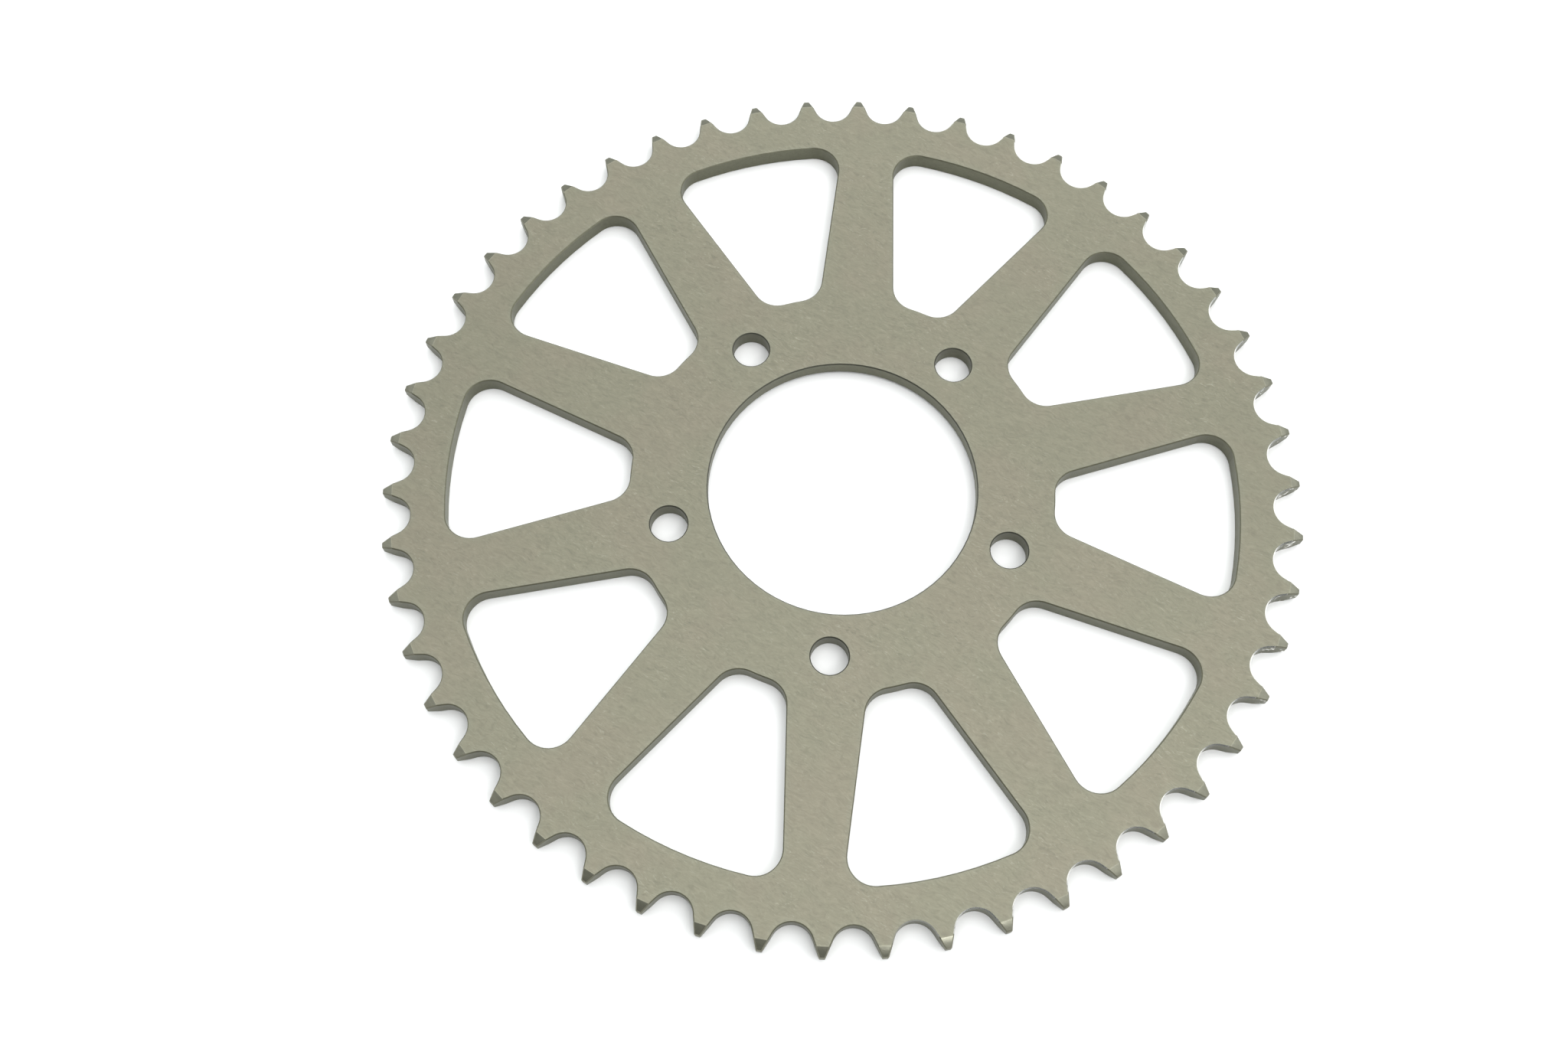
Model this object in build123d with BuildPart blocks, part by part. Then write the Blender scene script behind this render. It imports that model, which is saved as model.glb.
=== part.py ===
from build123d import *
from math import asin, cos, degrees, radians, sin
import os

# One-piece motorcycle rear sprocket for a 520-size roller chain, all sizes in mm.
# It lies flat: Z is the wheel axis, Z = 0 is the face that seats on the hub,
# and the origin is the centre of the hub bore on that face.

# Roller chain
CHAIN_PITCH = 15.875
ROLLER_DIA = 10.16
TEETH = 50

# Tooth form
SEAT_RADIUS = 5.68          # round seat of each gap, a little larger than the roller
FLANK_ANGLE = 25.0          # each straight flank leans this far from the gap's centre line
TIP_RADIUS = 129.6
TIP_ROUND = 0.35            # corner of each tooth tip, seen along the axis
TIP_BEVEL_WIDTH = 2.9       # radial width of the bevel on both faces of the teeth
TIP_BEVEL_DEPTH = 1.3
FIRST_GAP_ANGLE = 1.7       # from +X to the centre of the first tooth gap, degrees

# Plate, hub bore and bolt circle
THICKNESS = 5.8
BORE_RADIUS = 38.0
BORE_LEAD_IN = 1.2          # chamfer that clears the hub's corner, on the hub side only
BOLT_COUNT = 5
BOLT_CIRCLE_RADIUS = 50.0
BOLT_HOLE_RADIUS = 5.25
FIRST_BOLT_ANGLE = -90.0

# Windows between the spokes
WINDOWS = 10
WINDOW_INNER_RADIUS = 59.95
WINDOW_OUTER_RADIUS = 111.6
SPOKE_WIDTH_AT_HUB = 21.8
SPOKE_WIDTH_AT_RIM = 15.8
WINDOW_CORNER_RADIUS = 7.3

# Every machined edge is broken by this much
EDGE_BREAK = 0.3

# Sizes that follow from the ones above
pitch_radius = CHAIN_PITCH / (2 * sin(radians(180 / TEETH)))
root_radius = pitch_radius - ROLLER_DIA / 2
seat_centre = root_radius + SEAT_RADIUS
bevel_start = TIP_RADIUS - TIP_BEVEL_WIDTH
gap_mouth = TIP_RADIUS + 1.0
inner_half_angle = 180 / WINDOWS - degrees(asin(SPOKE_WIDTH_AT_HUB / 2 / WINDOW_INNER_RADIUS))
outer_half_angle = 180 / WINDOWS - degrees(asin(SPOKE_WIDTH_AT_RIM / 2 / WINDOW_OUTER_RADIUS))

os.makedirs("parts", exist_ok=True)

# The space one chain roller needs: a round seat and two straight flanks, opening along +X
with BuildSketch() as tooth_gap:
    with BuildLine() as gap_outline:
        seat = CenterArc((seat_centre, 0), SEAT_RADIUS, 90 + FLANK_ANGLE, 180 - 2 * FLANK_ANGLE)
        flank_length = (gap_mouth - (seat @ 0).X) / cos(radians(FLANK_ANGLE))
        upper_flank = PolarLine(seat @ 0, flank_length, FLANK_ANGLE)
        lower_flank = PolarLine(seat @ 1, flank_length, -FLANK_ANGLE)
        Line(upper_flank @ 1, lower_flank @ 1)
    make_face()

# One window, centred on +X: two arcs about the wheel axis joined by the spokes' straight sides
with BuildSketch() as window:
    with BuildLine() as window_outline:
        inner_arc = CenterArc((0, 0), WINDOW_INNER_RADIUS, -inner_half_angle, 2 * inner_half_angle)
        outer_arc = CenterArc((0, 0), WINDOW_OUTER_RADIUS, -outer_half_angle, 2 * outer_half_angle)
        Line(inner_arc @ 0, outer_arc @ 0)
        Line(inner_arc @ 1, outer_arc @ 1)
    make_face()
    fillet(window.vertices(), WINDOW_CORNER_RADIUS)

with BuildPart() as sprocket_plate:
    # Toothed blank, cut through the full thickness
    with BuildSketch() as toothed_disc:
        Circle(TIP_RADIUS)
        with PolarLocations(0, TEETH, start_angle=FIRST_GAP_ANGLE):
            add(tooth_gap.sketch, mode=Mode.SUBTRACT)
        tip_corners = toothed_disc.vertices().sort_by_distance((0, 0, 0))[-2 * TEETH:]
        fillet(tip_corners, TIP_ROUND)
    extrude(amount=THICKNESS)

    # Both faces of the teeth are turned down to a bevel at the tip, and the bore is turned
    # through with its lead-in on the hub side
    with BuildSketch(Plane.XZ) as turned_section:
        with BuildLine():
            Polyline(
                (BORE_RADIUS + BORE_LEAD_IN, 0),
                (bevel_start, 0),
                (TIP_RADIUS, TIP_BEVEL_DEPTH),
                (TIP_RADIUS, THICKNESS - TIP_BEVEL_DEPTH),
                (bevel_start, THICKNESS),
                (BORE_RADIUS + EDGE_BREAK, THICKNESS),
                (BORE_RADIUS, THICKNESS - EDGE_BREAK),
                (BORE_RADIUS, BORE_LEAD_IN),
                close=True,
            )
        make_face()
    revolve(axis=Axis.Z, mode=Mode.INTERSECT)

    # Outline of the teeth, with the edges broken on both faces: round the seats, along the
    # flanks on the flat, and on along the flanks where they cross the bevels
    level_edges = sprocket_plate.edges().group_by(Axis.Z)
    flat_edges = level_edges[0] + level_edges[-1]
    seat_edges = flat_edges.filter_by(GeomType.CIRCLE).group_by(SortBy.RADIUS)[0]
    flank_edges = flat_edges.filter_by(GeomType.LINE)
    bevel_faces = sprocket_plate.faces().filter_by(GeomType.CONE).sort_by_distance((0, 0, 0))[-2 * TEETH:]
    bevel_flank_edges = bevel_faces.edges().filter_by(
        lambda edge: edge.geom_type != GeomType.CIRCLE and edge.length > TIP_BEVEL_WIDTH
    )
    chamfer(seat_edges + flank_edges + bevel_flank_edges, EDGE_BREAK)

    # Windows between the spokes, with the edges broken on both faces
    with BuildSketch():
        with PolarLocations(0, WINDOWS):
            add(window.sketch)
    extrude(amount=THICKNESS, mode=Mode.SUBTRACT)
    window_edges = sprocket_plate.edges(Select.LAST).group_by(Axis.Z)
    chamfer(window_edges[0] + window_edges[-1], EDGE_BREAK)

    # Hub bolt holes, with the edges broken on both faces
    with PolarLocations(BOLT_CIRCLE_RADIUS, BOLT_COUNT, start_angle=FIRST_BOLT_ANGLE):
        Hole(BOLT_HOLE_RADIUS)
    hole_edges = sprocket_plate.edges(Select.LAST).filter_by(GeomType.CIRCLE)
    chamfer(hole_edges, EDGE_BREAK)

sprocket_plate.part.label = "sprocket_plate"
export_step(sprocket_plate.part, "parts/sprocket_plate.step")
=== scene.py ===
import math

import bpy
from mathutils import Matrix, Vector

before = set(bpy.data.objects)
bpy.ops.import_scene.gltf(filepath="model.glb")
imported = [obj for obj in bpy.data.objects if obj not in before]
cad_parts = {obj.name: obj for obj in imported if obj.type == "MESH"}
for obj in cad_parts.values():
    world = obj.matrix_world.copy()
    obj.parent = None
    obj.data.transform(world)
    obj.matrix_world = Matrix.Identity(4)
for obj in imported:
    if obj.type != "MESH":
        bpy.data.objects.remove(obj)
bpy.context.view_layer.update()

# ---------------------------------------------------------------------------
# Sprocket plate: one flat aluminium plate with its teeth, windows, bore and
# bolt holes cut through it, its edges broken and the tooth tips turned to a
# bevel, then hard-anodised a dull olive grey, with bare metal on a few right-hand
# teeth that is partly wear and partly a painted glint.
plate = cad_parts["sprocket_plate"]
bpy.ops.object.select_all(action="DESELECT")

# Sizes that the finish follows, in metres
HUB_RING_RADIUS = 0.058         # the bore and the bolt holes lie inside this radius
ROOT_RADIUS = 0.1205            # the teeth stand outside this radius
BEVEL_START = 0.1267            # the tooth bevels run from this radius to the tips
BEVEL_MIDDLE = 0.12815
EDGE_TINT_WIDTH = 0.0022        # how far the film is tinted in from an edge
RIDGE_WIDTH = 0.0003            # half of the painted highlight line where the bevels start

# Colours of the anodising and of the metal under it, and of the painted edge shade
OLIVE = (0.166, 0.162, 0.117, 1)
WARM = (0.176, 0.162, 0.120, 1)
PALE_GREEN = (0.194, 0.201, 0.154, 1)
PALE_FLECK_AND_HIGHLIGHT = (0.283, 0.279, 0.219, 1)
DARK_FLECK = (0.094, 0.094, 0.071, 1)
WALL_AND_EDGE_SHADE_OLIVE = (0.114, 0.115, 0.074, 1)
# painted shade for the broken edges round the bore and bolt holes
PAINTED_EDGE_SHADE = (0.073, 0.073, 0.057, 1)
BEVEL_GREY = (0.170, 0.168, 0.128, 1)
BARE_METAL_GLINT = (0.800, 0.795, 0.760, 1)

anodised = bpy.data.materials.new("hard_anodised_plate")
anodised.use_nodes = True
tree = anodised.node_tree
skin = tree.nodes["Principled BSDF"]


def node(kind, inputs=(), output=0, **settings):
    """Adds a node to the plate's material. inputs holds (socket, number or other node's output)."""
    made = tree.nodes.new("ShaderNode" + kind)
    for name, value in settings.items():
        setattr(made, name, value)
    for socket, value in inputs:
        if isinstance(value, bpy.types.NodeSocket):
            tree.links.new(value, made.inputs[socket])
        else:
            made.inputs[socket].default_value = value
    return made.outputs[output]


def multiply(first, second):
    return node("Math", ((0, first), (1, second)), operation="MULTIPLY")


def subtract(first, second):
    return node("Math", ((0, first), (1, second)), operation="SUBTRACT")


def larger(first, second):
    return node("Math", ((0, first), (1, second)), operation="MAXIMUM")


def add_share(base, field, share):
    """Adds a share of the field to the base."""
    return node("Math", ((0, field), (1, share), (2, base)), operation="MULTIPLY_ADD")


def rising(value, low, high):
    """0 up to low and 1 from high on, smooth between."""
    return node("MapRange", (("Value", value), ("From Min", low), ("From Max", high)),
                interpolation_type="SMOOTHSTEP")


def falling(value, low, high):
    """1 up to low and 0 from high on, smooth between."""
    return subtract(1.0, rising(value, low, high))


def stretched(where, scale):
    """Scales a place by its own amount along each axis."""
    return node("VectorMath", ((0, where), (1, scale)), operation="MULTIPLY")


def noise(where, scale=1.0, detail=2.0, roughness=0.5, distortion=0.0, output=0):
    return node("TexNoise", (("Vector", where), ("Scale", scale), ("Detail", detail),
                             ("Roughness", roughness), ("Distortion", distortion)), output=output)


def blend(amount, first, second):
    """Mixes two colours. A Mix node has them at inputs 6 and 7 and the result at output 2."""
    return node("Mix", ((0, amount), (6, first), (7, second)), output=2, data_type="RGBA")


place = node("TexCoord", output="Object")
across = node("SeparateXYZ", ((0, place),), output="X")
radius = node("VectorMath", ((0, stretched(place, (1, 1, 0))),), output="Value", operation="LENGTH")
facing = node("SeparateXYZ", ((0, node("NewGeometry", output="Normal")),), output="Z")
tilt = node("Math", ((0, facing),), operation="ABSOLUTE")

# Which surface is which, from the upright share of its normal: 0 on the walls, 0.71 on the
# broken edges, 0.91 on the tooth bevels and 1 on the two faces.
wall = falling(tilt, 0.35, 0.55)
edge = multiply(rising(tilt, 0.55, 0.65), falling(tilt, 0.78, 0.86))
bevel = multiply(rising(tilt, 0.84, 0.88), falling(tilt, 0.94, 0.98))

# Zones by radius, the painted highlight ring where the bevels start, and the strip of face beside each
# edge
toothed = rising(radius, ROOT_RADIUS - 0.0005, ROOT_RADIUS + 0.0005)
hub_ring = falling(radius, HUB_RING_RADIUS, HUB_RING_RADIUS + 0.001)
ridge_highlight = multiply(rising(radius, BEVEL_START - RIDGE_WIDTH, BEVEL_START),
                 falling(radius, BEVEL_START, BEVEL_START + RIDGE_WIDTH))
openness = node("AmbientOcclusion", (("Distance", EDGE_TINT_WIDTH),), output="AO", samples=8, inside=True)
near_edge = subtract(1.0, openness)

# Rolled grain of the sheet: soft wavy streaks a few millimetres long, all lying nearly one way,
# with finer pale and dark flecks among them. Each noise is given by its cells per metre.
GRAIN_TURN = math.radians(24)
GRAIN_SWAY = (0.0026, 0.0026, 0)
SWAY_CELLS = 170.0
STREAK_CELLS = (340, 1000, 1000)
FLECK_CELLS = (540, 1750, 1750)
CLUSTER_CELLS = 62.0

sway = noise(place, SWAY_CELLS, detail=1.0, output="Color")
swaying = node("VectorMath", ((0, sway), (1, GRAIN_SWAY), (2, place)), operation="MULTIPLY_ADD")
turned = node("VectorRotate", (("Vector", swaying), ("Angle", GRAIN_TURN)), rotation_type="Z_AXIS")
streaks = noise(stretched(turned, STREAK_CELLS), detail=3.0, distortion=1.4)
flecks = noise(stretched(turned, FLECK_CELLS), detail=1.5, distortion=1.6)
clusters = add_share(0.4, rising(noise(place, CLUSTER_CELLS), 0.36, 0.66), 0.6)
pale_fleck = multiply(rising(flecks, 0.58, 0.76), clusters)
dark_fleck = multiply(falling(flecks, 0.26, 0.42), clusters)

# Colour of the film: warmer patches a few centimetres across, a finer mottle, and a paler
# green strip where the film is thin beside the edges. Walls are darker, and the broken edges carry a
# painted shade line, darkest round the hub.
PATCH_CELLS = 38.0
MOTTLE_CELLS = 420.0
GRIT_CELLS = 3600.0

patches = rising(noise(place, PATCH_CELLS, detail=3.0, roughness=0.55), 0.40, 0.62)
mottle = noise(place, MOTTLE_CELLS, detail=3.0, roughness=0.6)
grit = noise(place, GRIT_CELLS)
warmth = add_share(multiply(mottle, 0.4), patches, 0.6)
film = blend(warmth, OLIVE, WARM)
film = blend(multiply(near_edge, 0.55), film, PALE_GREEN)
film = blend(multiply(pale_fleck, 0.42), film, PALE_FLECK_AND_HIGHLIGHT)
film = blend(multiply(dark_fleck, 0.36), film, DARK_FLECK)
film = blend(bevel, film, BEVEL_GREY)
# Painted highlight: a thin pale line round the wheel where the face meets the tooth bevels.
film = blend(multiply(ridge_highlight, 0.3), film, PALE_FLECK_AND_HIGHLIGHT)
# Walls are darker; the broken edges are taken part way to that colour as a painted shade line.
film = blend(larger(wall, multiply(edge, 0.6)), film, WALL_AND_EDGE_SHADE_OLIVE)
# Painted shade: the broken edges round the bore and the bolt holes go darker still.
film = blend(multiply(edge, hub_ring), film, PAINTED_EDGE_SHADE)

shade = add_share(0.92, mottle, 0.16)
shade = add_share(shade, subtract(streaks, 0.5), 0.50)
shade = add_share(shade, subtract(grit, 0.5), 0.12)
film = node("VectorMath", ((0, film), ("Scale", shade)), operation="SCALE")

# Bare metal on one side of the wheel: spots on the flanks at the far right, and the broken edges
# of the seats over the right-hand half. It is partly wear and partly a painted glint, kept to the
# side where the lamps and the white table make these flanks and edges shine.
RUB_AND_GLINT_CELLS = 520.0

rub_and_glint_spots = rising(noise(place, RUB_AND_GLINT_CELLS, detail=3.0, roughness=0.6), 0.54, 0.66)
far_right = rising(across, 0.112, 0.1185)
right_half = rising(across, 0.010, 0.045)
bare_and_glinting_flank = multiply(multiply(wall, toothed), multiply(far_right, rub_and_glint_spots))
on_bevels = rising(radius, BEVEL_START - 0.0009, BEVEL_START - 0.0001)
seat_edge = multiply(edge, subtract(toothed, on_bevels))
bare_and_glint = larger(bare_and_glinting_flank, multiply(seat_edge, right_half))
tree.links.new(blend(bare_and_glint, film, BARE_METAL_GLINT), skin.inputs["Base Color"])
tree.links.new(add_share(0.6, bare_and_glint, 0.4), skin.inputs["Metallic"])

# Gloss: a satin face, smoother on the turned bevels and on bare metal.
gloss = add_share(0.37, mottle, 0.10)
gloss = add_share(gloss, bevel, -0.20)
gloss = add_share(gloss, bare_and_glint, -0.18)
tree.links.new(gloss, skin.inputs["Roughness"])

# Relief: the rolled flecks and grit on the faces, upright cutter marks on the walls and fine
# turned grooves round the bevels, over bevels that are slightly rounded across.
CUTTER_CELLS = (2600, 2600, 160)
GROOVE_CELLS = 9000.0
RELIEF_HEIGHT = 0.00002
BEVEL_CROWN = 38.0              # the relief falls by this times the squared distance from the middle

cutter = noise(stretched(place, CUTTER_CELLS))
grooves = node("TexNoise", (("W", multiply(radius, GROOVE_CELLS)), ("Scale", 1.0), ("Detail", 1.0)),
               noise_dimensions="1D")
relief = multiply(subtract(pale_fleck, dark_fleck), 0.6)
relief = add_share(relief, grit, 0.5)
relief = add_share(relief, multiply(cutter, wall), 2.5)
relief = add_share(relief, multiply(grooves, bevel), 0.5)

from_middle = subtract(radius, BEVEL_MIDDLE)
crown = multiply(multiply(from_middle, from_middle), -BEVEL_CROWN)
crown = multiply(crown, bevel)
rounded = node("Bump", (("Strength", 1.0), ("Distance", 1.0), ("Height", crown)))
bump = node("Bump", (("Strength", 0.35), ("Distance", RELIEF_HEIGHT), ("Height", relief),
                     ("Normal", rounded)))
tree.links.new(bump, skin.inputs["Normal"])

plate.data.materials.clear()
plate.data.materials.append(anodised)

# ---------------------------------------------------------------------------
# Table: a plain sheet of matt white board under the plate. It is staging and
# isn't part of the object.
TABLE_SIZE = 6.0
TABLE_WHITE = (0.9, 0.9, 0.9, 1)
TABLE_ROUGHNESS = 0.9

bpy.ops.mesh.primitive_plane_add(size=TABLE_SIZE, location=(0, 0, 0))
table = bpy.context.object
table.name = "table"
white = bpy.data.materials.new("white_table")
white.use_nodes = True
board = white.node_tree.nodes["Principled BSDF"]
board.inputs["Base Color"].default_value = TABLE_WHITE
board.inputs["Roughness"].default_value = TABLE_ROUGHNESS
table.data.materials.append(white)


# ---------------------------------------------------------------------------
# Lights: a large soft box overhead, one each on the right, on the left and
# behind, and a medium and a small one on the near right, each aimed at the
# middle of the plate.
def soft_box(bearing, height, distance, width, depth, power):
    """Hangs a soft box. bearing is in degrees from +X and height in degrees above the table."""
    turn = math.radians(bearing)
    climb = math.radians(height)
    spot = Vector((math.cos(turn) * math.cos(climb), math.sin(turn) * math.cos(climb), math.sin(climb)))
    aim = (-spot).to_track_quat("-Z", "Y").to_euler()
    bpy.ops.object.light_add(type="AREA", location=spot * distance, rotation=aim)
    lamp = bpy.context.object.data
    lamp.shape = "RECTANGLE"
    lamp.size = width
    lamp.size_y = depth
    lamp.energy = power


soft_box(bearing=0, height=84, distance=1.6, width=1.3, depth=2.2, power=20.5)
soft_box(bearing=5, height=34, distance=1.5, width=2.0, depth=0.9, power=7.9)
soft_box(bearing=175, height=34, distance=1.5, width=2.0, depth=0.9, power=3.7)
soft_box(bearing=90, height=40, distance=1.5, width=1.4, depth=0.9, power=8.9)
soft_box(bearing=-50, height=50, distance=1.5, width=0.9, depth=0.8, power=3.4)
soft_box(bearing=-62, height=54, distance=1.5, width=0.30, depth=0.26, power=2.0)

# ---------------------------------------------------------------------------
# Surround: pale, faintly cool walls that are dim in front of the plate and
# bright behind it.
SURROUND_COLOUR = (0.94, 1, 1, 1)
DIM = 0.147
BRIGHT = 0.693

world = bpy.data.worlds.new("studio")
bpy.context.scene.world = world
world.use_nodes = True
surround = world.node_tree
background = surround.nodes["Background"]
background.inputs["Color"].default_value = SURROUND_COLOUR
direction = surround.nodes.new("ShaderNodeSeparateXYZ")
surround.links.new(surround.nodes.new("ShaderNodeTexCoord").outputs["Generated"], direction.inputs[0])
brightness = surround.nodes.new("ShaderNodeMapRange")
brightness.interpolation_type = "SMOOTHSTEP"
brightness.inputs["From Min"].default_value = -0.6
brightness.inputs["From Max"].default_value = 0.3
brightness.inputs["To Min"].default_value = DIM
brightness.inputs["To Max"].default_value = BRIGHT
surround.links.new(direction.outputs["Y"], brightness.inputs["Value"])
surround.links.new(brightness.outputs["Result"], background.inputs["Strength"])
bpy.context.scene.view_settings.view_transform = "Standard"

# ---------------------------------------------------------------------------
# Camera: above and in front of the plate's near edge, looking down about 21
# degrees off the wheel's axis.
bpy.ops.object.camera_add(
    location=(-0.003963, -0.177337, 0.436647),
    rotation=(math.radians(20.9883), math.radians(-0.2618), math.radians(4.6877)),
)
camera = bpy.context.object
camera.data.sensor_width = 36.0
camera.data.lens = 37.946
camera.data.clip_start = 0.01
camera.data.clip_end = 10.0
bpy.context.scene.camera = camera
